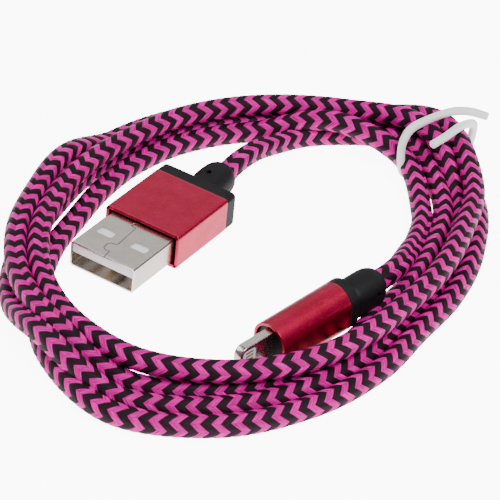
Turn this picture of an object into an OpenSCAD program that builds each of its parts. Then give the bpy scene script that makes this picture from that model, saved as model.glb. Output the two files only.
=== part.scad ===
// Braided charging cable, loosely coiled and tied: type-A plug at one end,
// small reversible 8-contact phone plug at the other.
// The type-A plug lies flat along Y with its mouth toward -Y, origin under its middle.

/* [Type-A plug] */
// Width of the steel shell
shell_w = 12; // [11.9:0.1:12.1]
// Height of the steel shell
shell_h = 4.5; // [4.4:0.1:4.6]
// Thickness of the shell's folded sheet
shell_wall = 0.3; // [0.25:0.05:0.35]
// Length of shell that stands out of the sleeve
shell_out = 10.5; // [10:0.25:12.5]
// Width of the aluminium sleeve
sleeve_w = 14; // [13.5:0.5:16]
// Height of the aluminium sleeve
sleeve_h = 6.2; // [6.2:0.1:8]
// Length of the aluminium sleeve
sleeve_len = 13.5; // [13:0.5:18]
// Wall of the aluminium sleeve
sleeve_wall = 0.6; // [0.4:0.1:0.65]
// Length of the strain relief's flange
flange_len = 2.6; // [2:0.1:4]
// Diameter of the strain relief's barrel
barrel_d = 6; // [5.5:0.1:6.2]
// Length of the strain relief behind the flange
barrel_len = 7.2; // [6.8:0.1:9]

/* [Cord] */
// Outer diameter of the braid
cord_d = 3.5; // [3:0.1:3.5]
// Diameter of the inner jacket under the braid
jacket_d = 2.6; // [2.2:0.1:2.8]
// Diameter of one insulated wire
wire_d = 0.7; // [0.5:0.1:0.8]
// Middle of the coil, X
coil_x = 13; // [12.5:0.5:13.5]
// Middle of the coil, Y
coil_y = 2; // [1.5:0.5:2.5]
// Angle of the first station, under the tie
first_angle = 80; // [79:1:81]
// Rings of the cord between two stations
cord_steps = 3; // [2:1:5]

/* [Phone plug] */
// Width of the contact tab
tab_w = 6.7; // [6.6:0.1:6.8]
// Thickness of the contact tab
tab_t = 1.5; // [1.4:0.1:1.6]
// Length of the tab that stands out of the sleeve
tab_len = 6.7; // [6.5:0.1:7]
// Height of the oval sleeve, across the tab
oval_h = 8.4; // [8.2:0.1:8.6]
// Width of the oval sleeve
oval_w = 6.4; // [6.2:0.1:6.6]
// Length of the oval sleeve
oval_len = 14.5; // [14:0.5:15]
// Wall of the oval sleeve
oval_wall = 0.5; // [0.3:0.1:0.6]
// Length of the strain relief behind the oval sleeve
tail_len = 9; // [8.8:0.1:9.2]
// Turn of the phone plug about the vertical
phone_turn = -11; // [-12:0.5:-10]
// Rise of the phone plug toward the cord
phone_pitch = 3; // [2:0.5:4]
// Where the cord enters the phone plug, X
phone_x = 36.2; // [36:0.1:36.4]
// Where the cord enters the phone plug, Y
phone_y = 4.3; // [4.2:0.1:4.4]
// Where the cord enters the phone plug, Z
phone_z = 5.5; // [5.4:0.1:5.6]

/* [Tie] */
// Diameter of the tie's plastic cover
tie_d = 1.4; // [1.2:0.1:1.5]
// Diameter of the tie's steel core
tie_core_d = 0.5; // [0.4:0.1:0.6]

/* [Hidden] */
$fn = 32;
gap = 0.05;                         // clearance between neighbouring solids
low = cord_d / 2;                   // height of a strand that lies on the table
total_len = shell_out + sleeve_len + flange_len + barrel_len;
mouth_y = -total_len / 2;
sleeve_y = mouth_y + shell_out;     // front rim of the sleeve
flange_y = sleeve_y + sleeve_len;   // front face of the flange
barrel_y = flange_y + flange_len;
exit_y = barrel_y + barrel_len;     // where the cord leaves the plug
axis_z = sleeve_h / 2;
shell_back = sleeve_y + 6;
cord_in = 5.5;                      // depth of the cord inside each strain relief
contact_x = [-3.5, -1, 1, 3.5];     // ground, two data, power
contact_w = 1.1;
contact_t = 0.25;
tongue_t = 1.6;
tongue_z = axis_z + shell_h / 2 - shell_wall - gap - tongue_t;  // underside of the tongue
window = [3, 1.8];
window_x = 3.2;
window_y = mouth_y + 5.4;
tab_y = -(tail_len + oval_len);    // the tab's root, in the phone plug's own frame
pad_pitch = 0.62;

red = "crimson";
black = [0.12, 0.12, 0.13];
steel = "silver";
white = "whitesmoke";
gold = "goldenrod";
wire_colours = [black, "white", "green", "red"];

// How far each turn reaches from the coil's middle, every 40 degrees from the tie
reaches = [
    [43, 30.5, 25.5, 31.5, 38.5, 37, 33.5, 36, 42],
    [48, 35, 29.5, 33, 37, 33.5, 30, 31, 38],
    [44.5, 34, 29, 35, 42.5, 38.5, 31, 32.5, 38],
    [46.5, 37.5, 32.5, 39, 46, 34, 26.5, 28.5, 35]
];
last_reach = 40;
tie_gap = 1.5;                         // how far the tie under the coil lifts it
// The stretches that ride on other turns, in degrees wound from the tie
raised = [[180, 260], [360, 720], [900, 900], [1420, 1420]];

// From the phone plug's tab toward its cord
phone_axis = [sin(-phone_turn) * cos(phone_pitch), cos(phone_turn) * cos(phone_pitch),
    sin(phone_pitch)];

// The two ends of the cord, outside the coil
lead_in = [[0, exit_y - cord_in, axis_z], [0, exit_y, axis_z], [0, 21, 3.5], [0, 26.5, 3],
    [1, 32.5, 2], [3, 37, low], [7, 41, 1.9], [13, 44, 2.6]];
lead_out = [[20, 40, 3.5], [29.5, 30.5, low], [33, 23, 2], [34.8, 16.5, 3.4], [36.3, 11, 4.9],
    [phone_x + 0.4, phone_y + 2, phone_z + 0.1], [phone_x, phone_y, phone_z],
    [phone_x, phone_y, phone_z] - cord_in * phone_axis];

// Route of the tie: [angle about the coil's middle, radius, height]
tie_start = [[71, 39, 9], [71.5, 42, 9.3]];
tie_end = [[78, 44, 9.8], [76, 47, 10.7], [73.5, 49, 11], [71.5, 51, 10.4]];

// ---------- helpers ----------

// A rectangle with round corners
module rounded(w, h, r) {
    square([w - 2 * r, h], center = true);
    square([w, h - 2 * r], center = true);
    for (x = [-1, 1], z = [-1, 1]) translate([x * (w / 2 - r), z * (h / 2 - r)]) circle(r);
}

// Extrudes a profile drawn in X and Z from y0 to y1
module along(y0, y1) translate([0, y1, 0]) rotate([90, 0, 0]) linear_extrude(y1 - y0) children();

// A round bar along Y
module bar(y0, y1, d) along(y0, y1) circle(d = d);

// A straight wire from a to b
module rod(a, b, d) {
    v = b - a;
    translate(a) rotate([0, acos(v[2] / norm(v)), atan2(v[1], v[0])]) cylinder(h = norm(v), d = d);
}

// Places the children in the frame of the phone plug, whose tab points along -Y
module at_phone() translate([phone_x, phone_y, phone_z])
    rotate([phone_pitch, 0, phone_turn]) children();

// Lifts the children to the axis of the type-A plug
module at_charger() translate([0, 0, axis_z]) children();

function polar(angle, r, z) = [coil_x + r * cos(angle), coil_y + r * sin(angle), z];

// A smooth reach between four neighbouring ones
function blend(a, b, c, d, t) =
    b + t / 2 * (c - a + t * (2 * a - 5 * b + 4 * c - d + t * (3 * (b - c) + d - a)));
flat_reaches = concat([for (row = reaches) each row], [last_reach]);
function nearby(k) = flat_reaches[max(0, min(len(flat_reaches) - 1, k))];
function reach_at(wound) = let (k = min(floor(wound / 40), len(flat_reaches) - 2))
    blend(nearby(k - 1), nearby(k), nearby(k + 1), nearby(k + 2), wound / 40 - k);
function is_raised(wound) = len([for (r = raised) if (wound >= r[0] && wound <= r[1]) 1]) > 0;
function height_at(wound) = low + (is_raised(wound) ? cord_d : 0) + (wound % 360 == 0 ? tie_gap : 0);

// The tie's pass round the turns, an oval with fuller corners
function squared(v) = sign(v) * pow(abs(v), 0.6);
function tie_round(k) = let (turned = 80 - 33 * k)
    [73 + 0.6 * k, 43.8 + 7.2 * squared(cos(turned)), 5 + 4.25 * squared(sin(turned))];
tie_stations = concat(tie_start, [for (k = [0:10]) tie_round(k)], tie_end);

// A smooth curve through the points of p, with n steps between two of them
function blend(a, b, c, d, t) = 0.5 * (2 * b + (c - a) * t
    + (2 * a - 5 * b + 4 * c - d) * t * t + (3 * b - a - 3 * c + d) * t * t * t);
function smooth(p, n) = [
    for (i = [0 : len(p) - 2], k = [0 : n - 1])
        blend(p[max(i - 1, 0)], p[i], p[i + 1], p[min(i + 2, len(p) - 1)], k / n),
    p[len(p) - 1]];

// The curve p, kept no lower than z
function rest_on(p, z) = [for (q = p) [q[0], q[1], max(q[2], z)]];

function unit(v) = v / norm(v);

// An eight-sided tube along a path; up is any direction the path never follows
module tube(path, d, up) {
    sides = 8;
    last = len(path) - 1;
    rings = [for (i = [0 : last])
        let (t = unit(path[min(i + 1, last)] - path[max(i - 1, 0)]),
            side = unit(cross(t, up)), over = cross(side, t))
        for (k = [0 : sides - 1])
            path[i] + d / 2 * (cos(360 * k / sides) * side + sin(360 * k / sides) * over)];
    walls = [for (i = [0 : last - 1], k = [0 : sides - 1])
        let (a = i * sides + k, b = i * sides + (k + 1) % sides)
        [a, b, b + sides, a + sides]];
    start = [[for (k = [sides - 1 : -1 : 0]) k]];
    end = [[for (k = [0 : sides - 1]) last * sides + k]];
    polyhedron(rings, concat(walls, start, end));
}

// ---------- type-A plug ----------

// Half of the seam's jigsaw line, drawn as a narrow slit in X and Y
module seam() {
    slit = 0.12;
    line = [[0.4, mouth_y - 1], [0.2, mouth_y + 1.5], [-1, mouth_y + 1.7], [-1.2, mouth_y + 3],
        [-0.9, mouth_y + 3.4], [0.1, mouth_y + 3.8], [-0.3, mouth_y + 9.2],
        [-1.3, mouth_y + 9.3], [-1.3, mouth_y + 10.2], [-0.4, mouth_y + 10.4],
        [-0.4, shell_back + 1]];
    for (i = [0 : len(line) - 2]) {
        v = line[i + 1] - line[i];
        translate(line[i]) rotate(atan2(v[1], v[0]))
            translate([-slit / 2, -slit / 2]) square([norm(v) + slit, slit]);
    }
}

module charger_shell() color(steel) at_charger() difference() {
    along(mouth_y, shell_back) difference() {
        rounded(shell_w, shell_h, 0.5);
        rounded(shell_w - 2 * shell_wall, shell_h - 2 * shell_wall, 0.2);
    }
    for (x = [-1, 1]) translate([x * window_x, window_y, 0]) cube([window[0], window[1], 9], center = true);
    translate([0, 0, 1]) linear_extrude(3) seam();
}

module charger_tongue() color(white) difference() {
    union() {
        translate([-5.6, mouth_y + 0.3, tongue_z]) cube([11.2, shell_out + 2, tongue_t]);
        at_charger() translate([0, 0, 0]) along(mouth_y + shell_out + 0.5, shell_back - 0.2)
            square([11.2, shell_h - 2 * shell_wall - 2 * gap], center = true);
    }
    for (x = contact_x) contact_groove(x, gap);
}

// The strip that a contact fills, grown by g on each side
module contact_groove(x, g) translate([x - contact_w / 2 - g, mouth_y + 0.8 - g, tongue_z - 1])
    cube([contact_w + 2 * g, shell_back - mouth_y + 3, 1 + contact_t + g]);

// A flat spring strip under the tongue, with its tail standing out at the back
module contact(x) color(gold) translate([x - contact_w / 2, mouth_y + 0.8, tongue_z - 0.05])
    cube([contact_w, shell_back + 1.6 - mouth_y - 0.8, contact_t]);

module charger_contact_ground() contact(contact_x[0]);
module charger_contact_data_plus() contact(contact_x[1]);
module charger_contact_data_minus() contact(contact_x[2]);
module charger_contact_power() contact(contact_x[3]);

// Where the wire of contact i starts, just over its tail, and where it leaves the jacket
function tail(i) = [contact_x[i], shell_back + 1.2, tongue_z - 0.05 + contact_t + wire_d / 2];
function root(i) = [(i - 1.5) * 0.85, flange_y - 1.6, axis_z];

module charger_wires() for (i = [0 : 3]) color(wire_colours[i]) rod(tail(i), root(i), wire_d);

module charger_solder_joints() color(steel) for (i = [0 : 3]) difference() {
    translate(tail(i) + [0, -0.1, 0.01 - wire_d / 2]) cylinder(h = 1, d = 1.2);
    rod(tail(i) - [0, 0.01, 0], root(i), wire_d + 0.02);
}

module charger_inner_mould() color(black) at_charger() difference() {
    along(shell_back + 0.1, flange_y - 0.1) square([12.4, 4.9], center = true);
    along(shell_back - 1, flange_y - 1.2) square([11, 3.8], center = true);
    bar(flange_y - 2, flange_y + 1, jacket_d + 0.1);
}

module charger_jacket_end() color("dimgray") at_charger() difference() {
    bar(flange_y - 1.1, exit_y - cord_in - 0.05, jacket_d);
    bar(flange_y - 2, flange_y - 0.6, jacket_d - 0.5);
}

module charger_crimp_ring() color(steel) at_charger() difference() {
    bar(flange_y + 0.1, flange_y + 1.7, jacket_d + 0.7);
    bar(flange_y - 1, flange_y + 4, jacket_d + 0.02);
}

module charger_sleeve() color(red) at_charger() along(sleeve_y, flange_y) difference() {
    rounded(sleeve_w, sleeve_h, 0.8);
    rounded(sleeve_w - 2 * sleeve_wall, sleeve_h - 2 * sleeve_wall, 0.3);
}

module charger_strain_relief() color(black) at_charger() difference() {
    union() {
        along(flange_y + gap, barrel_y) rounded(sleeve_w, sleeve_h, 0.8);
        bar(barrel_y - 0.5, barrel_y + 1.2, barrel_d - 0.8);
        translate([0, barrel_y + 1.2, 0]) rotate([-90, 0, 0]) rotate_extrude() polygon(
            [[0, 0], [barrel_d / 2 - 0.4, 0], [barrel_d / 2, 0.5], [barrel_d / 2, barrel_len - 2.4],
             [barrel_d / 2 - 0.5, barrel_len - 1.5], [2.2, barrel_len - 1.2], [0, barrel_len - 1.2]]);
    }
    bar(exit_y - cord_in - 0.1, exit_y + 1, cord_d + 0.1);
    bar(flange_y - 1, exit_y, jacket_d + 0.1);
    bar(flange_y - 1, flange_y + 1.8, jacket_d + 0.8);
    translate([0, barrel_y + 2, 0]) cylinder(h = 9, d = 0.9);
}

// ---------- cord ----------

route = concat(lead_in,
    [for (wound = [0:20:360 * len(reaches) - 20])
        polar(first_angle - wound, reach_at(wound), height_at(wound))],
    lead_out);

module braided_cord() color("deeppink")
    tube(rest_on(smooth(route, cord_steps), low), cord_d, [0, 0, 1]);

// ---------- phone plug, in its own frame: X across the tab's thickness ----------

// The tab's outline in Y and Z, extruded across X
module tab_slab(t, grow, root_in) {
    r = 1.3 + grow;
    w = tab_w + 2 * grow;
    len = tab_len + grow;
    translate([-t / 2, 0, 0]) rotate([90, 0, 90]) linear_extrude(t) {
        translate([tab_y - len + r, -w / 2]) square([len - r + root_in, w]);
        translate([tab_y - len, -w / 2 + r]) square([r + 0.1, w - 2 * r]);
        for (z = [-1, 1]) translate([tab_y - len + r, z * (w / 2 - r)]) circle(r);
    }
}

// The window in the frame that shows the insert
module tab_window(t, grow) {
    w = 5.4 + 2 * grow;
    len = 2.7 + 2 * grow;
    translate([-t / 2, tab_y - tab_len + 0.5 - grow, -w / 2]) cube([t, len, w]);
}

// A stadium w wide and h high, from y0 to y1
module oval(y0, y1, w, h) along(y0, y1) {
    square([w, h - w], center = true);
    for (z = [-1, 1]) translate([0, z * (h - w) / 2]) circle(d = w);
}

module phone_tip_frame() color(steel) at_phone() difference() {
    tab_slab(tab_t, 0, 2);
    tab_window(9, 0);
    translate([-0.5, tab_y - 5.5, -2.3]) cube([1, 9, 4.6]);
}

module phone_insert() color(white) at_phone() difference() {
    union() {
        tab_window(tab_t - 0.05, -gap);
        translate([-0.45, tab_y - 5.4, -2.25]) cube([0.9, 8.4, 4.5]);
    }
    for (s = [-1, 1], i = [0 : 7]) pad(s, i, 0.02);
    translate([-0.3, tab_y + 2, -9]) cube([0.6, 9, 18]);
}

// Contact pad i on side s of the tab, grown by g
module pad(s, i, g) translate([s * (tab_t / 2 - 0.1), tab_y - tab_len + 1.9, (i - 3.5) * pad_pitch])
    cube([0.2 + 2 * g, 1.6 + 2 * g, 0.3 + 2 * g], center = true);

module phone_contacts_front() color(gold) at_phone() for (i = [0 : 7]) pad(1, i, 0);
module phone_contacts_back() color(gold) at_phone() for (i = [0 : 7]) pad(-1, i, 0);

module phone_circuit_board() color("darkgreen") at_phone()
    translate([-0.25, tab_y + 2.1, -2.4]) cube([0.5, 8.6, 4.8]);

module phone_controller_chip() color(black) at_phone()
    translate([0.3, tab_y + 4, -1]) cube([0.7, 2.2, 2]);

module phone_capacitors() color("tan") at_phone()
    for (z = [-1.8, 1.3]) translate([0.3, tab_y + 3.9, z]) cube([0.4, 0.8, 0.4]);

module phone_front_collar() color(black) at_phone() difference() {
    oval(tab_y + 0.5, tab_y + 1.9, oval_w - 2 * oval_wall - 0.1, oval_h - 2 * oval_wall - 0.1);
    tab_slab(tab_t + 0.1, gap, 9);
}

module phone_inner_mould() color(black) at_phone() difference() {
    oval(tab_y + 2.05, -tail_len - 0.1, oval_w - 2 * oval_wall - 0.1, oval_h - 2 * oval_wall - 0.1);
    oval(tab_y + 1, -tail_len - 1.2, oval_w - 2 * oval_wall - 1.1, oval_h - 2 * oval_wall - 1.1);
    bar(-tail_len - 3, -tail_len + 1, jacket_d + 0.1);
}

function pad_tail(i) = [-0.25 - wire_d / 2 - 0.02, tab_y + 9.6, (i - 1.5) * 1.1];
function phone_root(i) = [0, -tail_len - 1.7, (i - 1.5) * 0.85];

module phone_wires() at_phone() for (i = [0 : 3])
    color(wire_colours[i]) rod(pad_tail(i), phone_root(i), wire_d);

module phone_solder_joints() color(steel) at_phone() for (i = [0 : 3]) difference() {
    translate(pad_tail(i) + [wire_d / 2, -0.1, 0]) rotate([0, -90, 0]) cylinder(h = 0.95, d = 1);
    rod(pad_tail(i) - [0, 0.01, 0], phone_root(i), wire_d + 0.02);
}

module phone_jacket_end() color("dimgray") at_phone() difference() {
    bar(-tail_len - 1.2, -cord_in - 0.05, jacket_d);
    bar(-tail_len - 2, -tail_len - 0.7, jacket_d - 0.5);
}

module phone_crimp_ring() color(steel) at_phone() difference() {
    bar(-tail_len + 0.1, -tail_len + 1.1, jacket_d + 0.7);
    bar(-tail_len - 1, -tail_len + 4, jacket_d + 0.02);
}

module phone_sleeve() color(red) at_phone() difference() {
    oval(tab_y, -tail_len, oval_w, oval_h);
    oval(tab_y - 1, -tail_len + 1, oval_w - 2 * oval_wall, oval_h - 2 * oval_wall);
}

module phone_strain_relief() color(black) at_phone() difference() {
    union() {
        oval(-tail_len + gap, -tail_len + 1.6, oval_w, oval_h);
        oval(-tail_len + 1.5, -tail_len + 2.7, 5.3, 6.2);
        oval(-tail_len + 2.6, -0.7, 5.8, 6.5);
        oval(-0.8, 0, 5, 5.7);
    }
    bar(-cord_in - 0.1, 1, cord_d + 0.1);
    bar(-tail_len - 1, 0, jacket_d + 0.1);
    bar(-tail_len - 1, -tail_len + 1.2, jacket_d + 0.8);
    rotate([0, 70, 0]) translate([0, -2.2, 0]) cylinder(h = 9, d = 0.9);
}

// ---------- tie ----------

tie_path = rest_on(smooth([for (s = tie_stations) polar(s[0], s[1], s[2])], 5), tie_d / 2 + 0.02);
across = [sin(first_angle), -cos(first_angle), 0];   // the strands' direction under the tie

module tie_cover() color(white) difference() {
    tube(tie_path, tie_d, across);
    tube(tie_path, tie_core_d + 0.1, across);
}

module tie_wire() color(steel) tube(tie_path, tie_core_d, across);

charger_shell();
charger_tongue();
charger_contact_ground();
charger_contact_data_plus();
charger_contact_data_minus();
charger_contact_power();
charger_inner_mould();
charger_wires();
charger_solder_joints();
charger_jacket_end();
charger_crimp_ring();
charger_sleeve();
charger_strain_relief();
braided_cord();
phone_tip_frame();
phone_insert();
phone_contacts_front();
phone_contacts_back();
phone_circuit_board();
phone_controller_chip();
phone_capacitors();
phone_front_collar();
phone_inner_mould();
phone_wires();
phone_solder_joints();
phone_jacket_end();
phone_crimp_ring();
phone_sleeve();
phone_strain_relief();
tie_cover();
tie_wire();
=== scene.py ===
import random
import bpy
import bmesh
import numpy as np
from math import copysign, sin, cos, pi, radians
from mathutils import Euler, Matrix, Vector


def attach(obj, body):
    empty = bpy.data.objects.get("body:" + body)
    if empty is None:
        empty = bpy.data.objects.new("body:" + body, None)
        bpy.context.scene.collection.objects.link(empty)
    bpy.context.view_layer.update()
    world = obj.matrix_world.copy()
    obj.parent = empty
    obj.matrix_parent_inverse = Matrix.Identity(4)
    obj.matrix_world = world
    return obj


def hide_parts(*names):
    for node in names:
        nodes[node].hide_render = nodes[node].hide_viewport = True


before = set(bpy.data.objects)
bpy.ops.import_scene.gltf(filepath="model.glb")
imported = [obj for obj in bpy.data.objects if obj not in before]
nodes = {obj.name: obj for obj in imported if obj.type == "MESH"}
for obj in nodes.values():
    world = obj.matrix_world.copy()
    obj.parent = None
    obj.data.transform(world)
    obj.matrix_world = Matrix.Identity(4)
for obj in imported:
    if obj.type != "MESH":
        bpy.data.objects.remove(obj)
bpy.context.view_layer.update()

mm = 0.001

# camera
cameraData = bpy.data.cameras.new("camera")
camera = bpy.data.objects.new("camera", cameraData)
bpy.context.scene.collection.objects.link(camera)
camera.location = (0.18396, -0.29090, 0.23974)
camera.rotation_mode = "QUATERNION"
turn = Matrix.Rotation(radians(30), 3, "Z") @ Matrix.Rotation(radians(55), 3, "X")
turn = turn @ Matrix.Rotation(radians(6), 3, "Z")
camera.rotation_quaternion = turn.to_quaternion()
cameraData.lens = 190.5
cameraData.sensor_width = 36
cameraData.clip_start = 0.01
bpy.context.scene.camera = camera


# the cord's route, as in the CAD source, in millimetres
cord = {
    "width": 3.5, "low": 1.75, "middle": (13, 2), "firstAngle": 80,
    "lastReach": 40, "tieGap": 1.5,
    "repeat": 2.9, "rise": 1.38, "columns": 8, "perColumn": 4, "perBand": 4,
    "round": 1.79, "creaseDepth": 0.05, "gapDepth": 0.07, "twist": 10,
}
low = cord["low"]
leadIn = [(0, 11.4, 3.1), (0, 16.9, 3.1), (0, 21, 3.5), (0, 26.5, 3), (1, 32.5, 2),
          (3, 37, low), (7, 41, 1.9), (13, 44, 2.6)]
# how far each turn reaches from the coil's middle, every 40 degrees from the tie
reaches = [
    [43, 30.5, 25.5, 31.5, 38.5, 37, 33.5, 36, 42],
    [48, 35, 29.5, 33, 37, 33.5, 30, 31, 38],
    [44.5, 34, 29, 35, 42.5, 38.5, 31, 32.5, 38],
    [46.5, 37.5, 32.5, 39, 46, 34, 26.5, 28.5, 35],
]
# the stretches that ride on other turns, in degrees wound from the tie
raised = [(180, 260), (360, 720), (900, 900), (1420, 1420)]
phone = {"at": (36.2, 4.3, 5.5), "turn": -11, "pitch": 3, "tail": 9, "oval": 14.5}
phoneTurn, phonePitch = radians(phone["turn"]), radians(phone["pitch"])
phoneAxis = Vector((-sin(phoneTurn) * cos(phonePitch), cos(phoneTurn) * cos(phonePitch),
                    sin(phonePitch)))
leadOut = [(20, 40, 3.5), (29.5, 30.5, low), (33, 23, 2), (34.8, 16.5, 3.4),
           (36.3, 11, 4.9), (36.6, 6.3, 5.6), phone["at"],
           tuple(Vector(phone["at"]) - 5.5 * phoneAxis)]


def reachAt(wound):
    flat = [reach for row in reaches for reach in row] + [cord["lastReach"]]
    k = min(int(wound // 40), len(flat) - 2)
    t = wound / 40 - k
    a, b, c, d = (flat[max(0, min(len(flat) - 1, k + j))] for j in (-1, 0, 1, 2))
    return b + t / 2 * (c - a + t * (2 * a - 5 * b + 4 * c - d + t * (3 * (b - c) + d - a)))


def heightAt(wound):
    up = any(start <= wound <= end for start, end in raised)
    return low + (cord["width"] if up else 0) + (cord["tieGap"] if wound % 360 == 0 else 0)


def coilStations():
    return [polar(cord["firstAngle"] - wound, reachAt(wound), heightAt(wound))
            for wound in range(0, 360 * len(reaches), 20)]


def polar(angle, radius, height):
    middle = cord["middle"]
    turned = radians(angle)
    return (middle[0] + radius * cos(turned), middle[1] + radius * sin(turned), height)


def smooth(points, steps, floorHeight):
    p = np.array([points[0]] + list(points) + [points[-1]], float)
    t = np.arange(steps)[:, None] / steps
    parts = [0.5 * (2 * b + (c - a) * t + (2 * a - 5 * b + 4 * c - d) * t * t
                    + (3 * b - a - 3 * c + d) * t ** 3)
             for a, b, c, d in zip(p[:-3], p[1:-2], p[2:-1], p[3:])]
    line = np.concatenate(parts + [p[-1:]])
    line[:, 2] = np.maximum(line[:, 2], floorHeight)  # nothing sinks into the table
    return line


def evenly(line, step):
    far = np.concatenate([[0], np.cumsum(np.linalg.norm(np.diff(line, axis=0), axis=1))])
    count = int(far[-1] / step)
    want = np.linspace(0, far[-1], count + 1)
    return np.stack([np.interp(want, far, line[:, k]) for k in range(3)], 1), far[-1]


def carried(line, up):
    # axes across the line, carried along it without turning about it
    ahead = np.gradient(line, axis=0)
    ahead /= np.linalg.norm(ahead, axis=1)[:, None]
    side = np.zeros_like(line)
    side[0] = np.cross(ahead[0], up)
    side[0] /= np.linalg.norm(side[0])
    for i in range(1, len(line)):
        s = side[i - 1] - ahead[i] * np.dot(side[i - 1], ahead[i])
        side[i] = s / np.linalg.norm(s)
    return side, np.cross(side, ahead)


def newMesh(name, points, faces, sharp=None):
    mesh = bpy.data.meshes.new(name)
    mesh.from_pydata(points, [], faces)
    mesh.update()
    obj = bpy.data.objects.new(name, mesh)
    bpy.context.scene.collection.objects.link(obj)
    mesh.polygons.foreach_set("use_smooth", [True] * len(mesh.polygons))
    return obj


def braidedTube(name, line, spec):
    # a sheath of 8 columns of slanted floats, leaning left and right in turn
    across, along = spec["perColumn"], spec["perBand"]
    sides = spec["columns"] * across
    step = spec["repeat"] / 2 / along
    path, length = evenly(line, step)
    side, over = carried(path, (0, 0, 1))
    rings = len(path)
    tone = random.Random(11)
    j = np.arange(sides)
    u = (j % across) / across
    column = j // across
    slant = np.where(column % 2 == 0, u, 1 - u) - 0.5          # zigzag round the cord
    i = np.arange(rings)
    v = (i % along) / along
    band = i // along
    wander = np.array([[tone.uniform(-0.05, 0.05) for _ in range(spec["columns"])]
                       for _ in range(rings // along + 2)])
    at = i[:, None] * step + slant[None, :] * spec["rise"]
    at = at + (1 - u[None, :]) * wander[band][:, column]
    at = at + u[None, :] * wander[band][:, (column + 1) % 8]
    where = np.clip(at / length * (rings - 1), 0, rings - 1)
    bulgeU = np.sin(pi * u) ** 0.55
    bulgeV = np.sin(pi * v) ** 0.55
    radius = (spec["round"] - spec["creaseDepth"] * (1 - bulgeU)[None, :]
              - spec["gapDepth"] * (1 - bulgeV)[:, None] + 0 * at)
    angle = 2 * pi * j[None, :] / sides + spec["twist"] * 2 * pi / 360 * np.sin(at / 90)
    n = np.arange(rings)
    pick = lambda a: np.stack([np.interp(where, n, a[:, k]) for k in range(3)], 2)
    centre, s, o = pick(path), pick(side), pick(over)
    outward = np.cos(angle)[..., None] * s + np.sin(angle)[..., None] * o
    points = centre + radius[..., None] * outward
    points = points.reshape(-1, 3) * mm
    a = (i[:-1, None] * sides + j[None, :])
    b = (i[:-1, None] * sides + (j[None, :] + 1) % sides)
    faces = np.stack([a, b, b + sides, a + sides], 2).reshape(-1, 4)
    caps = [[int(k) for k in j[::-1]], [int((rings - 1) * sides + k) for k in j]]
    obj = newMesh(name, points.tolist(), faces.tolist() + caps)
    mesh = obj.data
    uv = mesh.uv_layers.new(name="yarn")
    uLow = u + 2 * column
    uHigh = uLow + 1 / across
    vLow = (v + band)[:-1]
    vHigh = vLow + 1 / along
    grid = np.zeros((rings - 1, sides, 4, 2))
    grid[:, :, 0, 0] = grid[:, :, 3, 0] = uLow[None, :]
    grid[:, :, 1, 0] = grid[:, :, 2, 0] = uHigh[None, :]
    grid[:, :, 0, 1] = grid[:, :, 1, 1] = vLow[:, None]
    grid[:, :, 2, 1] = grid[:, :, 3, 1] = vHigh[:, None]
    uv.data.foreach_set("uv", np.concatenate([grid.ravel(), np.zeros(4 * sides)]))
    dark = np.repeat((band[:-1] % 2)[:, None], sides, 1).ravel()
    mesh.polygons.foreach_set("material_index", np.concatenate([dark, [1, 1]]).astype(np.int32))
    sharp = mesh.attributes.new("sharp_edge", "BOOLEAN", "EDGE")
    ends = np.zeros(2 * len(mesh.edges), np.int32)
    mesh.edges.foreach_get("vertices", ends)
    ends = ends.reshape(-1, 2)
    ringOf = ends // sides
    crease = (ringOf[:, 0] == ringOf[:, 1]) & (ringOf[:, 0] % along == 0)
    sharp.data.foreach_set("value", crease)
    return obj, path * mm, length * mm


coil = coilStations()
route = smooth(leadIn + coil + leadOut, 24, low)
braid, braidPath, braidLength = braidedTube("braided-cord", route, cord)
print("cord", round(braidLength, 4), len(braid.data.polygons))


# shading helpers
def put(tree, kind, **settings):
    node = tree.nodes.new("ShaderNode" + kind)
    for key, value in settings.items():
        setattr(node, key, value)
    return node


def feed(tree, socket, value):
    if isinstance(value, bpy.types.NodeSocket):
        tree.links.new(value, socket)
    else:
        socket.default_value = value


def calc(tree, operation, *values, clamp=False):
    node = put(tree, "Math", operation=operation, use_clamp=clamp)
    for socket, value in zip(node.inputs, values):
        feed(tree, socket, value)
    return node.outputs[0]


def vectorCalc(tree, operation, *values):
    node = put(tree, "VectorMath", operation=operation)
    for socket, value in zip(node.inputs, values):
        feed(tree, socket, value)
    return node.outputs[0]


def remap(tree, value, a, b, c, d):
    node = put(tree, "MapRange", interpolation_type="SMOOTHSTEP")
    for socket, v in zip(node.inputs, (value, a, b, c, d)):
        feed(tree, socket, v)
    return node.outputs[0]


def mixColour(tree, factor, a, b, blend="MIX"):
    node = put(tree, "Mix", data_type="RGBA", blend_type=blend)
    feed(tree, node.inputs[0], factor)
    feed(tree, node.inputs[6], a if isinstance(a, bpy.types.NodeSocket) else (*a, 1))
    feed(tree, node.inputs[7], b if isinstance(b, bpy.types.NodeSocket) else (*b, 1))
    return node.outputs[2]


def noise(tree, vector, scale, detail=2.0, rough=0.5):
    node = put(tree, "TexNoise")
    feed(tree, node.inputs["Vector"], vector)
    node.inputs["Scale"].default_value = scale
    node.inputs["Detail"].default_value = detail
    node.inputs["Roughness"].default_value = rough
    return node.outputs[0]


def newGroup(name, inputs, outputs):
    group = bpy.data.node_groups.new(name, "ShaderNodeTree")
    for label, kind in inputs:
        group.interface.new_socket(label, in_out="INPUT", socket_type="NodeSocket" + kind)
    for label, kind in outputs:
        group.interface.new_socket(label, in_out="OUTPUT", socket_type="NodeSocket" + kind)
    entries = group.nodes.new("NodeGroupInput").outputs
    return group, entries, group.nodes.new("NodeGroupOutput").inputs


def use(tree, group, **values):
    node = tree.nodes.new("ShaderNodeGroup")
    node.node_tree = group
    for key, value in values.items():
        feed(tree, node.inputs[key], value)
    return node.outputs


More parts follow.
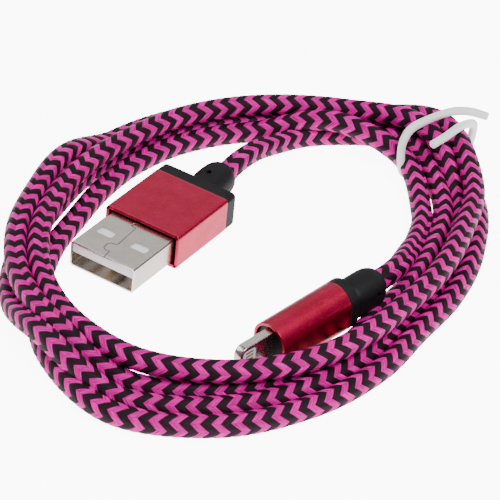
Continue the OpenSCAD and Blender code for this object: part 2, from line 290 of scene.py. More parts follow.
# how near a point is to an edge of a unit box
edgeGroup, given, result = newGroup("edge nearness", [("Place", "Vector")], [("Edge", "Float")])
apart = put(edgeGroup, "SeparateXYZ")
feed(edgeGroup, apart.inputs[0], vectorCalc(edgeGroup, "ABSOLUTE", given["Place"]))
x, y, z = apart.outputs
second = calc(edgeGroup, "MAXIMUM", calc(edgeGroup, "MINIMUM", x, y),
              calc(edgeGroup, "MINIMUM", calc(edgeGroup, "MAXIMUM", x, y), z))
feed(edgeGroup, result["Edge"], remap(edgeGroup, second, 0.93, 1.0, 0.0, 1.0))

# fine even grain, wide soft mottling and a few specks of dust; place in millimetres
grainGroup, given, result = newGroup("grain and dust", [("Place", "Vector"), ("Size", "Float")],
                                     [("Fine", "Float"), ("Wide", "Float"), ("Dust", "Float")])
scaled = vectorCalc(grainGroup, "SCALE", given["Place"])
feed(grainGroup, scaled.node.inputs["Scale"], given["Size"])
feed(grainGroup, result["Fine"], noise(grainGroup, scaled, 1.0, 3.0, 0.6))
feed(grainGroup, result["Wide"], noise(grainGroup, given["Place"], 0.35, 2.0))
specks = put(grainGroup, "TexVoronoi")
feed(grainGroup, specks.inputs["Vector"], given["Place"])
specks.inputs["Scale"].default_value = 0.9
feed(grainGroup, result["Dust"],
     remap(grainGroup, specks.outputs["Distance"], 0.03, 0.07, 1.0, 0.0))

# hard little facets of blasted and dyed metal, as a bump height that makes them glitter, and a few
# random cells for painted glints; place in millimetres
sparkGroup, given, result = newGroup("blasted metal", [("Place", "Vector")],
                                     [("Height", "Float"), ("PaintedGlint", "Float")])
cells = put(sparkGroup, "TexVoronoi")
feed(sparkGroup, cells.inputs["Vector"], given["Place"])
cells.inputs["Scale"].default_value = 15.0
feed(sparkGroup, result["Height"], cells.outputs["Distance"])
tint = put(sparkGroup, "SeparateColor")
feed(sparkGroup, tint.inputs[0], cells.outputs["Color"])
feed(sparkGroup, result["PaintedGlint"], calc(sparkGroup, "POWER", tint.outputs[0], 14.0))

# filaments along each float, shade at its borders and its own tone; from the yarn map
yarnGroup, given, result = newGroup("yarn", [("Place", "Vector")],
                                    [("Strand", "Float"), ("Border", "Float"), ("Tone", "Float"),
                                     ("Height", "Float")])
apart = put(yarnGroup, "SeparateXYZ")
feed(yarnGroup, apart.inputs[0], given["Place"])
u, v = apart.outputs[0], apart.outputs[1]
stretch = put(yarnGroup, "CombineXYZ")
feed(yarnGroup, stretch.inputs[0], calc(yarnGroup, "MULTIPLY", u, 0.9))
feed(yarnGroup, stretch.inputs[1], calc(yarnGroup, "MULTIPLY", v, 13.0))
strand = noise(yarnGroup, stretch.outputs[0], 1.0, 2.0, 0.55)
feed(yarnGroup, result["Strand"], strand)
whole = put(yarnGroup, "CombineXYZ")
feed(yarnGroup, whole.inputs[0], calc(yarnGroup, "FLOOR", u))
feed(yarnGroup, whole.inputs[1], calc(yarnGroup, "FLOOR", v))
chance = put(yarnGroup, "TexWhiteNoise", noise_dimensions="2D")
feed(yarnGroup, chance.inputs["Vector"], whole.outputs[0])
feed(yarnGroup, result["Tone"], chance.outputs["Value"])
nearU = calc(yarnGroup, "ABSOLUTE", calc(yarnGroup, "SUBTRACT", calc(yarnGroup, "FRACT", u), 0.5))
nearV = calc(yarnGroup, "ABSOLUTE", calc(yarnGroup, "SUBTRACT", calc(yarnGroup, "FRACT", v), 0.5))
borderU = remap(yarnGroup, nearU, 0.42, 0.5, 0.0, 0.3)
borderV = remap(yarnGroup, nearV, 0.40, 0.5, 0.0, 1.0)
feed(yarnGroup, result["Border"], calc(yarnGroup, "MAXIMUM", borderU, borderV))
rise = calc(yarnGroup, "MULTIPLY", strand, 1.0)
feed(yarnGroup, result["Height"], calc(yarnGroup, "SUBTRACT", rise,
                                       calc(yarnGroup, "MULTIPLY", borderV, 0.5)))


def newMaterial(name):
    material = bpy.data.materials.new(name)
    material.use_nodes = True
    tree = material.node_tree
    shader = tree.nodes["Principled BSDF"]
    return material, tree, shader.inputs


def placeIn(tree, centre=(0, 0, 0), turned=(0, 0, 0), size=(1, 1, 1)):
    # the piece's own place, centred and turned back, in units of size
    coords = put(tree, "TexCoord")
    mapping = put(tree, "Mapping", vector_type="TEXTURE")
    feed(tree, mapping.inputs["Vector"], coords.outputs["Object"])
    mapping.inputs["Location"].default_value = centre
    mapping.inputs["Rotation"].default_value = turned
    mapping.inputs["Scale"].default_value = size
    return mapping.outputs[0]


def bump(tree, height, strength, distance):
    node = put(tree, "Bump")
    node.inputs["Strength"].default_value = strength
    node.inputs["Distance"].default_value = distance
    feed(tree, node.inputs["Height"], height)
    return node.outputs[0]


def yarnMaterial(name, deep, bright, roughness, shineTone):
    material, tree, shader = newMaterial(name)
    uvMap = put(tree, "UVMap", uv_map="yarn")
    yarn = use(tree, yarnGroup, Place=uvMap.outputs[0])
    strandShade = remap(tree, yarn["Strand"], 0.25, 0.75, 0.0, 1.0)
    colour = mixColour(tree, strandShade, deep, bright)
    toneShade = calc(tree, "MULTIPLY_ADD", yarn["Tone"], 0.3, 0.85)
    borderShade = calc(tree, "MULTIPLY_ADD", yarn["Border"], -0.6, 1.0)
    shade = calc(tree, "MULTIPLY", toneShade, borderShade)
    toned = vectorCalc(tree, "SCALE", colour)
    feed(tree, toned.node.inputs["Scale"], shade)
    feed(tree, shader["Base Color"], toned)
    feed(tree, shader["Roughness"],
         calc(tree, "MULTIPLY_ADD", yarn["Strand"], 0.2, roughness - 0.1))
    shader["Specular Tint"].default_value = (*shineTone, 1)
    shader["Specular IOR Level"].default_value = 0.25
    feed(tree, shader["Normal"], bump(tree, yarn["Height"], 0.9, 0.00006))
    return material


magentaYarn = yarnMaterial("magenta yarn", (0.26, 0.0, 0.07), (0.95, 0.0, 0.47), 0.45,
                           (1, 0.35, 0.9))
blackYarn = yarnMaterial("black yarn", (0.0018, 0.001, 0.0015), (0.0085, 0.005, 0.007), 0.6,
                         (1, 0.6, 0.8))
braid.data.materials.append(magentaYarn)
braid.data.materials.append(blackYarn)
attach(braid, "root")
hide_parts("braided_cord")


def redMetal(name, centre, turned, half):
    material, tree, shader = newMaterial(name)
    place = placeIn(tree, centre, turned, (mm, mm, mm))
    box = placeIn(tree, centre, turned, half)
    edge = use(tree, edgeGroup, Place=box)["Edge"]
    grain = use(tree, grainGroup, Place=place, Size=14.0)
    blast = use(tree, sparkGroup, Place=place)
    body = mixColour(tree, remap(tree, grain["Wide"], 0.3, 0.7, 0.0, 1.0),
                     (0.46, 0.001, 0.04), (0.52, 0.002, 0.055))
    # a few random cells lightened towards pale pink: painted glints on the blasted metal
    paintedGlints = mixColour(tree, calc(tree, "MULTIPLY", blast["PaintedGlint"], 0.3), body, (0.95, 0.22, 0.30))
    wear = calc(tree, "MULTIPLY", edge, remap(tree, grain["Fine"], 0.45, 0.7, 0.0, 0.55))
    worn = mixColour(tree, wear, paintedGlints, (0.80, 0.20, 0.26))
    feed(tree, shader["Base Color"], worn)
    shader["Metallic"].default_value = 1.0
    feed(tree, shader["Roughness"], calc(tree, "MULTIPLY_ADD", grain["Fine"], 0.14, 0.30))
    shader["Coat Roughness"].default_value = 0.3
    feed(tree, shader["Coat Weight"], calc(tree, "MULTIPLY_ADD", grain["Wide"], 0.1, 0.15))
    height = calc(tree, "ADD", blast["Height"], calc(tree, "MULTIPLY", grain["Fine"], 0.6))
    feed(tree, shader["Normal"], bump(tree, height, 0.25, 0.00002))
    return material


def platedSteel(name, centre, turned, half, tone=(0.62, 0.58, 0.53), stretch=(1, 12, 1)):
    material, tree, shader = newMaterial(name)
    place = placeIn(tree, centre, turned, (mm, mm, mm))
    box = placeIn(tree, centre, turned, half)
    drawn = placeIn(tree, centre, turned, tuple(mm * s for s in stretch))
    edge = use(tree, edgeGroup, Place=box)["Edge"]
    grain = use(tree, grainGroup, Place=place, Size=5.0)
    lines = noise(tree, drawn, 9.0, 4.0, 0.6)                  # faint marks from rolling
    body = mixColour(tree, remap(tree, grain["Wide"], 0.3, 0.7, 0.0, 1.0), tone,
                     tuple(0.9 * c for c in tone))
    marked = mixColour(tree, remap(tree, lines, 0.55, 0.8, 0.0, 0.35), body,
                       tuple(0.7 * c for c in tone))
    worn = mixColour(tree, calc(tree, "MULTIPLY", edge, 0.5), marked, (0.86, 0.83, 0.79))
    feed(tree, shader["Base Color"], worn)
    shader["Metallic"].default_value = 1.0
    feed(tree, shader["Roughness"],
         calc(tree, "ADD", 0.14, calc(tree, "MULTIPLY", grain["Fine"], 0.22)))
    height = calc(tree, "ADD", lines, calc(tree, "MULTIPLY", grain["Fine"], 0.5))
    feed(tree, shader["Normal"], bump(tree, height, 0.08, 0.00002))
    return material


def softBlack(name, centre, turned, half, tone=(0.006, 0.006, 0.007), roughness=0.5):
    material, tree, shader = newMaterial(name)
    place = placeIn(tree, centre, turned, (mm, mm, mm))
    box = placeIn(tree, centre, turned, half)
    edge = use(tree, edgeGroup, Place=box)["Edge"]
    grain = use(tree, grainGroup, Place=place, Size=11.0)
    body = mixColour(tree, remap(tree, grain["Wide"], 0.3, 0.7, 0.0, 1.0), tone,
                     tuple(1.35 * c for c in tone))
    worn = mixColour(tree, calc(tree, "MULTIPLY", edge, 0.35), body, (0.06, 0.06, 0.065))
    dusty = mixColour(tree, calc(tree, "MULTIPLY", grain["Dust"], 0.12), worn, (0.3, 0.29, 0.28))
    feed(tree, shader["Base Color"], dusty)
    feed(tree, shader["Roughness"],
         calc(tree, "MULTIPLY_ADD", grain["Fine"], 0.25, roughness - 0.1))
    shader["Specular IOR Level"].default_value = 0.18
    feed(tree, shader["Normal"], bump(tree, grain["Fine"], 0.22, 0.00002))
    return material


def plasticOf(name, tone, other, roughness, size=8.0, subsurface=0.0):
    material, tree, shader = newMaterial(name)
    place = placeIn(tree, (0, 0, 0), (0, 0, 0), (mm, mm, mm))
    grain = use(tree, grainGroup, Place=place, Size=size)
    body = mixColour(tree, remap(tree, grain["Wide"], 0.3, 0.7, 0.0, 1.0), tone, other)
    feed(tree, shader["Base Color"], body)
    feed(tree, shader["Roughness"],
         calc(tree, "MULTIPLY_ADD", grain["Fine"], 0.2, roughness - 0.08))
    shader["Subsurface Weight"].default_value = subsurface
    shader["Subsurface Scale"].default_value = 0.0005
    feed(tree, shader["Normal"], bump(tree, grain["Fine"], 0.12, 0.00002))
    return material


def metalOf(name, tone, other, roughness, size=6.0):
    material, tree, shader = newMaterial(name)
    place = placeIn(tree, (0, 0, 0), (0, 0, 0), (mm, mm, mm))
    grain = use(tree, grainGroup, Place=place, Size=size)
    body = mixColour(tree, remap(tree, grain["Wide"], 0.3, 0.7, 0.0, 1.0), tone, other)
    feed(tree, shader["Base Color"], body)
    shader["Metallic"].default_value = 1.0
    feed(tree, shader["Roughness"],
         calc(tree, "MULTIPLY_ADD", grain["Fine"], 0.2, roughness - 0.08))
    feed(tree, shader["Normal"], bump(tree, grain["Fine"], 0.1, 0.00002))
    return material


# modelling helpers
def clearPicked():
    if bpy.context.mode != "OBJECT":
        bpy.ops.object.mode_set(mode="OBJECT")
    bpy.ops.object.select_all(action="DESELECT")


def only(obj):
    clearPicked()
    obj.select_set(True)
    bpy.context.view_layer.objects.active = obj


def addBox(name, lowCorner, highCorner):
    clearPicked()
    middle = [(a + b) / 2 * mm for a, b in zip(lowCorner, highCorner)]
    size = [(b - a) * mm for a, b in zip(lowCorner, highCorner)]
    bpy.ops.mesh.primitive_cube_add(size=1, location=middle, scale=size)
    return settled(name)


def addRod(name, middle, radius, length, sides=48, turned=(90, 0, 0)):
    clearPicked()
    bpy.ops.mesh.primitive_cylinder_add(vertices=sides, radius=radius * mm, depth=length * mm,
                                        location=[m * mm for m in middle],
                                        rotation=[radians(t) for t in turned])
    return settled(name)


def addRing(name, y, height, radius, sides=64, turned=(90, 0, 0)):
    # a filled disc facing -Y, to grow a turned shape from
    clearPicked()
    bpy.ops.mesh.primitive_circle_add(vertices=sides, radius=radius * mm, fill_type="NGON",
                                      location=(0, y * mm, height * mm),
                                      rotation=[radians(t) for t in turned])
    return settled(name)


def settled(name):
    obj = bpy.context.active_object
    obj.name = name
    obj.data.name = name
    bpy.ops.object.transform_apply(location=True, rotation=True, scale=True)
    return obj


def pickFaces(obj, test):
    only(obj)
    bpy.ops.object.mode_set(mode="EDIT")
    bpy.ops.mesh.select_mode(type="FACE")
    bpy.ops.mesh.select_all(action="DESELECT")
    work = bmesh.from_edit_mesh(obj.data)
    count = 0
    for face in work.faces:
        if test(face.calc_center_median() / mm, face.normal):
            face.select_set(True)
            count += 1
    bmesh.update_edit_mesh(obj.data)
    return count


def pickEdges(obj, test):
    only(obj)
    bpy.ops.object.mode_set(mode="EDIT")
    bpy.ops.mesh.select_mode(type="EDGE")
    bpy.ops.mesh.select_all(action="DESELECT")
    work = bmesh.from_edit_mesh(obj.data)
    count = 0
    for edge in work.edges:
        if test(edge.verts[0].co / mm, edge.verts[1].co / mm, edge):
            edge.select_set(True)
            count += 1
    bmesh.update_edit_mesh(obj.data)
    return count


def bevelPicked(width, segments, profile=0.5):
    bpy.ops.mesh.bevel(offset=width * mm, segments=segments, profile=profile, affect="EDGES")


def extrudePicked(x=0, y=0, z=0):
    bpy.ops.mesh.extrude_region_move(TRANSFORM_OT_translate={"value": (x * mm, y * mm, z * mm)})


def scalePicked(x, y, z, centre):
    bpy.ops.transform.resize(value=(x, y, z), center_override=[c * mm for c in centre])


def insetPicked(width):
    bpy.ops.mesh.inset(thickness=width * mm, depth=0)


def backToObject():
    bpy.ops.object.mode_set(mode="OBJECT")


def combine(obj, tool, operation="DIFFERENCE"):
    clearPicked()
    bpy.context.view_layer.objects.active = obj
    step = obj.modifiers.new("cut", "BOOLEAN")
    step.operation = operation
    step.solver = "EXACT"
    step.object = tool
    bpy.ops.object.modifier_apply(modifier=step.name)
    bpy.data.objects.remove(tool)


def finishPiece(obj, materials, angle=35, stands=(), place=None, flat=True):
    only(obj)
    bpy.ops.object.mode_set(mode="EDIT")
    bpy.ops.mesh.select_all(action="SELECT")
    bpy.ops.mesh.remove_doubles(threshold=0.000002)
    bpy.ops.mesh.normals_make_consistent(inside=False)
    backToObject()
    if place is not None:
        obj.matrix_world = place
        bpy.ops.object.transform_apply(location=True, rotation=True, scale=True)
    if not obj.data.materials:
        for material in materials:
            obj.data.materials.append(material)
    bpy.ops.object.shade_smooth_by_angle(angle=radians(angle))
    if flat:
        step = obj.modifiers.new("flat faces", "WEIGHTED_NORMAL")
        step.keep_sharp = True
        step.weight = 100
        bpy.ops.object.modifier_apply(modifier=step.name)
    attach(obj, "root")
    if stands:
        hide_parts(*stands)
    return obj


axisHeight = 3.1
mouthY, sleeveY, flangeY, barrelY = -16.9, -6.4, 7.1, 9.7

# steel shell of the charger plug
shell = {"w": 12, "h": 4.5, "wall": 0.3, "back": -0.4, "corner": 0.55,
         "window": (3.0, 1.8), "windowX": 3.2, "windowY": -11.5,
         "seam": [(0.4, -17.5), (0.2, -15.4), (-0.6, -15.4), (-1.05, -15.1), (-1.2, -14.5),
                  (-1.2, -13.9), (-0.95, -13.45), (-0.4, -13.3), (0, -13.2), (0.1, -12.9),
                  (-0.3, -7.7), (-0.85, -7.7), (-1.3, -7.4), (-1.4, -6.9), (-1.05, -6.6),
                  (-0.5, -6.6), (-0.4, -6.2), (-0.4, -3.5)]}


def roundedTube(name, y0, y1, w, h, corner, steps):
    tube = addBox(name, (-w / 2, y0, axisHeight - h / 2), (w / 2, y1, axisHeight + h / 2))
    pickEdges(tube, lambda a, b, e: abs(a.y - b.y) > 1)
    bevelPicked(corner, steps)
    return tube


def slitTool(points, z, width):
    # a thin wall that follows a line, to cut the seam with
    curveData = bpy.data.curves.new("seam", "CURVE")
    curveData.dimensions = "2D"
    spline = curveData.splines.new("POLY")
    spline.points.add(len(points) - 1)
    for point, (px, py) in zip(spline.points, points):
        point.co = (px * mm, py * mm, 0, 1)
    obj = bpy.data.objects.new("seam", curveData)
    bpy.context.scene.collection.objects.link(obj)
    only(obj)
    bpy.ops.object.convert(target="MESH")
    bpy.ops.object.mode_set(mode="EDIT")
    bpy.ops.mesh.select_all(action="SELECT")
    extrudePicked(z=0.5)
    backToObject()
    step = obj.modifiers.new("wall", "SOLIDIFY")
    step.thickness = width * mm
    step.offset = 0
    bpy.ops.object.modifier_apply(modifier=step.name)
    obj.location.z = z * mm
    bpy.ops.object.transform_apply(location=True, rotation=True, scale=True)
    return obj


shellPiece = roundedTube("charger-shell", mouthY, shell["back"], shell["w"], shell["h"],
                         shell["corner"], 5)
bore = roundedTube("bore", mouthY - 1, shell["back"] + 1, shell["w"] - 2 * shell["wall"],
                   shell["h"] - 2 * shell["wall"], shell["corner"] - 0.25, 5)
combine(shellPiece, bore)
for sideX in (-1, 1):
    middleX = sideX * shell["windowX"]
    w, h = shell["window"]
    window = addBox("window", (middleX - w / 2, shell["windowY"] - h / 2, 0),
                    (middleX + w / 2, shell["windowY"] + h / 2, 7))
    pickEdges(window, lambda a, b, e: abs(a.z - b.z) > 1)
    bevelPicked(0.55, 5)
    backToObject()
    combine(shellPiece, window)
combine(shellPiece, slitTool(shell["seam"], axisHeight + shell["h"] / 2 - 0.27, 0.14))
step = shellPiece.modifiers.new("rim", "BEVEL")
step.width = 0.05 * mm
step.segments = 2
step.limit_method = "ANGLE"
step.angle_limit = radians(50)
only(shellPiece)
bpy.ops.object.modifier_apply(modifier=step.name)
steelMaterial = platedSteel("nickel plated steel", (0, -8.65 * mm, axisHeight * mm), (0, 0, 0),
                            (6 * mm, 8.25 * mm, 2.25 * mm))
finishPiece(shellPiece, [steelMaterial], 30, ["charger_shell"])
print("shell", len(shellPiece.data.polygons))

# white tongue and its block
tongueTop = axisHeight + shell["h"] / 2 - shell["wall"] - 0.03
tonguePiece = addBox("charger-tongue", (-5.6, mouthY + 0.12, tongueTop - 1.6),
                     (5.6, -5.9, tongueTop))
pickEdges(tonguePiece, lambda a, b, e: abs(a.x - b.x) > 1 and a.y < -10)
bevelPicked(0.12, 2)
backToObject()
for contactX in (-3.5, -1, 1, 3.5):
    groove = addBox("groove", (contactX - 0.6, mouthY + 0.7, tongueTop - 3),
                    (contactX + 0.6, 2, tongueTop - 1.33))
    combine(tonguePiece, groove)
block = addBox("block", (-5.6, -6, 1.25), (5.6, -0.6, tongueTop))
pickEdges(block, lambda a, b, e: True)
bevelPicked(0.1, 2)
backToObject()
combine(tonguePiece, block, "UNION")
whitePlastic = plasticOf("white plastic", (0.80, 0.80, 0.80), (0.86, 0.86, 0.86), 0.38, 8.0, 0.1)
finishPiece(tonguePiece, [whitePlastic], 35, ["charger_tongue"])
print("tongue", len(tonguePiece.data.polygons))

# red sleeve of the charger plug
sleevePiece = roundedTube("charger-sleeve", sleeveY, flangeY, 14, 6.2, 0.75, 6)
backToObject()
pickFaces(sleevePiece, lambda c, n: n.y < -0.9)
insetPicked(0.6)
extrudePicked(y=7.5)
backToObject()
pickEdges(sleevePiece, lambda a, b, e: a.y < sleeveY + 0.01 and b.y < sleeveY + 0.01)
bevelPicked(0.1, 3)
backToObject()
sleeveMetal = redMetal("dyed aluminium", (0, 0.35 * mm, axisHeight * mm), (0, 0, 0),
                       (7 * mm, 6.75 * mm, 3.1 * mm))
finishPiece(sleevePiece, [sleeveMetal], 30, ["charger_sleeve"])
print("sleeve", len(sleevePiece.data.polygons))

# black strain relief of the charger plug
reliefPiece = roundedTube("charger-strain-relief", flangeY + 0.03, barrelY, 14, 6.2, 0.85, 6)
backToObject()
pickEdges(reliefPiece, lambda a, b, e: a.y > barrelY - 0.01 and b.y > barrelY - 0.01)
bevelPicked(0.55, 5)
backToObject()
pickEdges(reliefPiece, lambda a, b, e: a.y < flangeY + 0.04 and b.y < flangeY + 0.04)
bevelPicked(0.06, 2)
backToObject()
barrel = addRing("barrel", barrelY - 0.6, axisHeight, 3.05)
pickFaces(barrel, lambda c, n: True)
profile = [(0.5, 3.05), (0.8, 2.93), (1.1, 2.82), (1.5, 2.78), (2.0, 2.84), (2.6, 2.93), (3.3, 3.0),
           (4.4, 3.02), (5.6, 2.98), (6.3, 2.88), (6.9, 2.68),
           (7.35, 2.4), (7.65, 2.1), (7.8, 1.85)]
before = (0, 3.05)
for forward, radius in profile:
    extrudePicked(y=forward - before[0])
    scalePicked(radius / before[1], 1, radius / before[1], (0, barrelY - 0.6 + forward, axisHeight))
    before = (forward, radius)
extrudePicked(y=-2.5)
backToObject()
combine(reliefPiece, barrel, "UNION")
combine(reliefPiece, addRod("vent", (0, barrelY + 2.3, axisHeight + 3.2), 0.45, 2.4, 24, (0, 0, 0)))
rubber = softBlack("black rubber", (0, 12 * mm, axisHeight * mm), (0, 0, 0),
                   (7 * mm, 4.9 * mm, 3.1 * mm))
finishPiece(reliefPiece, [rubber], 40, ["charger_strain_relief"])
print("strain relief", len(reliefPiece.data.polygons))

# phone plug, made along -Y from its cord end and then put in place
phonePlace = (Matrix.Translation(Vector(phone["at"]) * mm)
              @ Euler((radians(phone["pitch"]), 0, radians(phone["turn"]))).to_matrix().to_4x4())
phoneTurned = (radians(phone["pitch"]), 0, radians(phone["turn"]))


def phonePoint(x, y, z):
    return tuple(phonePlace @ Vector((x * mm, y * mm, z * mm)))


tabY = -(phone["tail"] + phone["oval"])
oval = {"w": 6.4, "h": 8.4, "wall": 0.5}


def ovalBar(name, y0, y1, w, h, sides=64):
    # a stadium: a rod pulled apart across its middle
    bar = addRod(name, (0, (y0 + y1) / 2, 0), w / 2, y1 - y0, sides)
    only(bar)
    bpy.ops.object.mode_set(mode="EDIT")
    work = bmesh.from_edit_mesh(bar.data)
    for part in (1, -1):
        bpy.ops.mesh.select_all(action="DESELECT")
        bpy.ops.mesh.select_mode(type="VERT")
        work = bmesh.from_edit_mesh(bar.data)
        for vert in work.verts:
            vert.select_set(vert.co.z * part > 0.00001)
        work.select_flush_mode()
        bmesh.update_edit_mesh(bar.data)
        bpy.ops.transform.translate(value=(0, 0, part * (h - w) / 2 * mm))
    backToObject()
    return bar


ovalPiece = ovalBar("phone-sleeve", tabY, -phone["tail"], oval["w"], oval["h"])
pickFaces(ovalPiece, lambda c, n: n.y < -0.9)
insetPicked(oval["wall"])
extrudePicked(y=6)
backToObject()
pickEdges(ovalPiece, lambda a, b, e: a.y < tabY + 0.01 and b.y < tabY + 0.01)
bevelPicked(0.1, 3)
backToObject()
ovalMiddle = phonePoint(0, (tabY - phone["tail"]) / 2, 0)
ovalMetal = redMetal("dyed aluminium, oval", ovalMiddle, phoneTurned,
                     (3.2 * mm, 7.25 * mm, 4.2 * mm))
finishPiece(ovalPiece, [ovalMetal], 35, ["phone_sleeve"], phonePlace)

collarPiece = ovalBar("phone-front-collar", tabY + 0.5, tabY + 1.9, 5.3, 7.3)
pickEdges(collarPiece, lambda a, b, e: a.y < tabY + 0.51 and b.y < tabY + 0.51)
bevelPicked(0.12, 2)
backToObject()
innerBlack = softBlack("black plastic", phonePoint(0, tabY + 1, 0), phoneTurned,
                       (2.7 * mm, 0.8 * mm, 3.7 * mm), (0.012, 0.012, 0.013), 0.4)
tabCut = addBox("cut", (-0.78, tabY - 1, -3.37), (0.78, tabY + 3, 3.37))
combine(collarPiece, tabCut)
finishPiece(collarPiece, [innerBlack], 35, ["phone_front_collar"], phonePlace)

tab = {"w": 6.7, "t": 1.5, "length": 6.7, "corner": 1.3}
tabPiece = addBox("phone-tab-frame", (-tab["t"] / 2, tabY - tab["length"], -tab["w"] / 2),
                  (tab["t"] / 2, tabY + 2, tab["w"] / 2))
pickEdges(tabPiece, lambda a, b, e: abs(a.x - b.x) > 1 and a.y < tabY - 6)
bevelPicked(tab["corner"], 8)
backToObject()
pickEdges(tabPiece, lambda a, b, e: abs(a.x - b.x) < 0.01
          and not (a.y > tabY + 1.9 and b.y > tabY + 1.9))
bevelPicked(0.16, 3)
backToObject()
opening = addBox("opening", (-2, tabY - tab["length"] + 0.5, -2.7),
                 (2, tabY - tab["length"] + 3.2, 2.7))
pickEdges(opening, lambda a, b, e: abs(a.x - b.x) > 1)
bevelPicked(0.7, 6)
backToObject()
combine(tabPiece, opening)
step = tabPiece.modifiers.new("rim", "BEVEL")
step.width = 0.04 * mm
step.segments = 2
step.limit_method = "ANGLE"
step.angle_limit = radians(60)
only(tabPiece)
bpy.ops.object.modifier_apply(modifier=step.name)
tabSteel = platedSteel("polished steel", phonePoint(0, tabY - 2.3, 0), phoneTurned,
                       (0.75 * mm, 4.4 * mm, 3.35 * mm), (0.66, 0.60, 0.56), (1, 8, 1))
finishPiece(tabPiece, [tabSteel], 30, ["phone_tip_frame"], phonePlace)

insertPiece = addBox("phone-insert", (-0.71, tabY - tab["length"] + 0.53, -2.67),
                     (0.71, tabY - tab["length"] + 3.17, 2.67))
pickEdges(insertPiece, lambda a, b, e: abs(a.x - b.x) > 1)
bevelPicked(0.68, 6)
backToObject()
pickEdges(insertPiece, lambda a, b, e: abs(a.x - b.x) < 0.01)
bevelPicked(0.06, 2)
backToObject()
finishPiece(insertPiece, [whitePlastic], 35, ["phone_insert"], phonePlace)

goldMaterial = metalOf("contact gold", (0.52, 0.34, 0.16), (0.45, 0.28, 0.13), 0.3)
for part, label in ((1, "front"), (-1, "back")):
    padPieces = []
    for k in range(8):
        padX, padY, padZ = part * 0.68, tabY - tab["length"] + 1.87, (k - 3.5) * 0.62
        pad = addBox("pad", (padX - 0.05, padY - 0.8, padZ - 0.15),
                     (padX + 0.05, padY + 0.8, padZ + 0.15))
        pickEdges(pad, lambda a, b, e: abs(a.x - b.x) > 0.05)
        bevelPicked(0.1, 3)
        backToObject()
        padPieces.append(pad)
    clearPicked()
    for pad in padPieces:
        pad.select_set(True)
    bpy.context.view_layer.objects.active = padPieces[0]
    bpy.ops.object.join()
    padPieces[0].name = "phone-contacts-" + label
    finishPiece(padPieces[0], [goldMaterial], 35,
                ["phone_contacts_" + label], phonePlace)

tail = phone["tail"]
tailPiece = ovalBar("phone-strain-relief", -tail + 0.03, -tail + 1.6, 6.4, 8.4)
pickFaces(tailPiece, lambda c, n: n.y > 0.9)
rings = [(1.75, 6.3, 8.3, 0), (1.95, 5.9, 7.7, 0), (2.1, 5.4, 6.8, -0.1), (2.35, 5.1, 6.1, -0.2),
         (2.6, 5.2, 6.0, -0.2), (2.8, 5.5, 6.2, -0.2),
         (3.1, 5.7, 6.35, -0.2), (5.0, 5.8, 6.4, -0.2),
         (7.0, 5.75, 6.35, -0.2), (7.7, 5.6, 6.15, -0.2), (8.2, 5.35, 5.85, -0.2),
         (8.6, 5.0, 5.5, -0.2), (8.9, 4.5, 5.0, -0.15), (9.0, 4.0, 4.4, -0.1), (9.0, 3.7, 3.7, 0)]
before = (1.6, 6.4, 8.4, 0)
for forward, w, h, drop in rings:
    extrudePicked(y=forward - before[0], z=drop - before[3])
    scalePicked(w / before[1], 1, h / before[2], (0, -tail + forward, drop))
    before = (forward, w, h, drop)
extrudePicked(y=-2.5)
backToObject()
vent = addRod("vent", (2.9, -2.5, 0.5), 0.45, 2.4, 24, (0, 90, 0))
combine(tailPiece, vent)
tailRubber = softBlack("black rubber, oval", phonePoint(0, -tail / 2, 0), phoneTurned,
                       (3.2 * mm, 4.5 * mm, 4.2 * mm))
finishPiece(tailPiece, [tailRubber], 40, ["phone_strain_relief"], phonePlace)
print("phone plug", len(tailPiece.data.polygons))

# white twist tie
tieStart = [(71, 39, 9), (71.5, 42, 9.3)]
tieEnd = [(78, 44, 9.8), (76, 47, 10.7), (73.5, 49, 11), (71.5, 51, 10.4)]


def squared(value):  # a round outline with fuller corners
    return copysign(abs(value) ** 0.6, value)


def tieRound(k):
    turned = radians(80 - 33 * k)
    return (73 + 0.6 * k, 43.8 + 7.2 * squared(cos(turned)), 5 + 4.25 * squared(sin(turned)))


tieStations = tieStart + [tieRound(k) for k in range(11)] + tieEnd
tie = {"width": 1.4, "sides": 20}


def tieTube(name, line, spec):
    path, length = evenly(line, 0.35)
    up = np.array((sin(radians(80)), -cos(radians(80)), 0))
    side, over = carried(path, up)
    ahead = np.gradient(path, axis=0)
    ahead /= np.linalg.norm(ahead, axis=1)[:, None]
    angle = 2 * pi * np.arange(spec["sides"]) / spec["sides"]
    ringsOut = []
    r = spec["width"] / 2
    ends = [(0, 0.62), (0, 0.88), (0.12, 1.0)]                 # a cut end, its edge just broken
    last = len(path) - 1
    for k in range(len(path)):
        ringsOut.append((path[k], r, k))
    first = [(path[0] + ahead[0] * (d - 0.12), r * f, 0) for d, f in ends[:2]]
    final = [(path[last] - ahead[last] * (d - 0.12), r * f, last) for d, f in ends[1::-1]]
    points = []
    for centre, radius, k in first + ringsOut + final:
        squash = 1 + 0.05 * sin(k * 0.23)
        for a in angle:
            outward = cos(a) * squash * side[k] + sin(a) / squash * over[k]
            points.append((centre + radius * outward) * mm)
    n = spec["sides"]
    count = len(first) + len(ringsOut) + len(final)
    faces = [[i * n + j, i * n + (j + 1) % n, (i + 1) * n + (j + 1) % n, (i + 1) * n + j]
             for i in range(count - 1) for j in range(n)]
    faces.append(list(range(n))[::-1])
    faces.append([(count - 1) * n + j for j in range(n)])
    return newMesh(name, [tuple(p) for p in points], faces)


tieLine = smooth([polar(*s) for s in tieStations], 10, tie["width"] / 2 + 0.02)
tiePiece = tieTube("white-tie", tieLine, tie)
tieWhite = plasticOf("tie plastic", (0.95, 0.95, 0.94), (0.98, 0.98, 0.98), 0.42, 5.0, 0.15)
finishPiece(tiePiece, [tieWhite], 40, ["tie_cover"], flat=False)
print("tie", len(tiePiece.data.polygons))

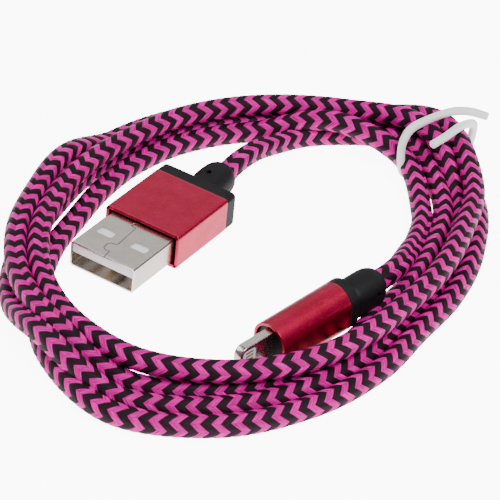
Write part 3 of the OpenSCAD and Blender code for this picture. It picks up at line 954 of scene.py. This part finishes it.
# the hidden parts keep their CAD shape
hidden = {
    "charger_contact_ground": goldMaterial, "charger_contact_data_plus": goldMaterial,
    "charger_contact_data_minus": goldMaterial, "charger_contact_power": goldMaterial,
    "charger_inner_mould": innerBlack, "phone_inner_mould": innerBlack,
    "phone_controller_chip": innerBlack,
    "charger_solder_joints": metalOf("solder", (0.62, 0.62, 0.60), (0.5, 0.5, 0.49), 0.3),
    "phone_circuit_board": plasticOf("green board", (0.01, 0.10, 0.04), (0.012, 0.13, 0.05), 0.35),
    "phone_capacitors": plasticOf("ceramic", (0.45, 0.33, 0.2), (0.5, 0.38, 0.24), 0.45),
    "charger_jacket_end": plasticOf("inner jacket", (0.05, 0.05, 0.052), (0.07, 0.07, 0.072), 0.5),
    "charger_crimp_ring": metalOf("crimp steel", (0.5, 0.49, 0.47), (0.42, 0.41, 0.4), 0.35),
    "tie_wire": metalOf("tie steel", (0.45, 0.44, 0.43), (0.36, 0.35, 0.34), 0.4),
}
for name in ("solder_joints", "jacket_end", "crimp_ring"):
    hidden["phone_" + name] = hidden["charger_" + name]
wireTones = [("black insulation", (0.02, 0.02, 0.02)), ("white insulation", (0.75, 0.75, 0.75)),
             ("green insulation", (0.02, 0.3, 0.06)), ("red insulation", (0.5, 0.01, 0.01))]
wireMaterials = [plasticOf(label, tone, tuple(0.8 * c for c in tone), 0.4)
                 for label, tone in wireTones]
for name, material in hidden.items():
    for slotOf in nodes[name].material_slots:
        slotOf.material = material
for name in ("charger_wires", "phone_wires"):
    for k, slotOf in enumerate(nodes[name].material_slots):
        slotOf.material = wireMaterials[k % 4]
print("hidden parts", len(hidden))

# floor and lights
clearPicked()
bpy.ops.mesh.primitive_plane_add(size=3, location=(0, 0, 0))
floorPiece = bpy.context.active_object
floorPiece.name = "floor"
floorMaterial, tree, shader = newMaterial("pale floor")
shader["Base Color"].default_value = (0.9, 0.9, 0.9, 1)
shader["Roughness"].default_value = 0.9
shader["Specular IOR Level"].default_value = 0.1
seen = put(tree, "LightPath").outputs["Is Camera Ray"]
glow = mixColour(tree, seen, (0.22, 0.22, 0.22), (1, 1, 1))
feed(tree, shader["Emission Color"], glow)
shader["Emission Strength"].default_value = 9
floorPiece.data.materials.append(floorMaterial)


def addLight(name, at, towards, size, power, tone=(1, 1, 1)):
    data = bpy.data.lights.new(name, "AREA")
    data.shape = "RECTANGLE"
    data.size, data.size_y = size
    data.energy = power
    data.color = tone
    light = bpy.data.objects.new(name, data)
    bpy.context.scene.collection.objects.link(light)
    light.location = at
    light.rotation_euler = (Vector(towards) - Vector(at)).to_track_quat("-Z", "Y").to_euler()


addLight("key", (0.35, -0.1, 0.55), (0, 0, 0), (0.4, 0.4), 5)
addLight("fill", (-0.5, -0.2, 0.45), (0, 0, 0), (0.5, 0.5), 2.5)
addLight("back", (-0.1, 0.6, 0.5), (0, 0, 0), (1.2, 0.7), 2)
world = bpy.data.worlds.new("studio")
bpy.context.scene.world = world
world.use_nodes = True
world.node_tree.nodes["Background"].inputs["Color"].default_value = (1, 1, 1, 1)
world.node_tree.nodes["Background"].inputs["Strength"].default_value = 0.2
print("stage")

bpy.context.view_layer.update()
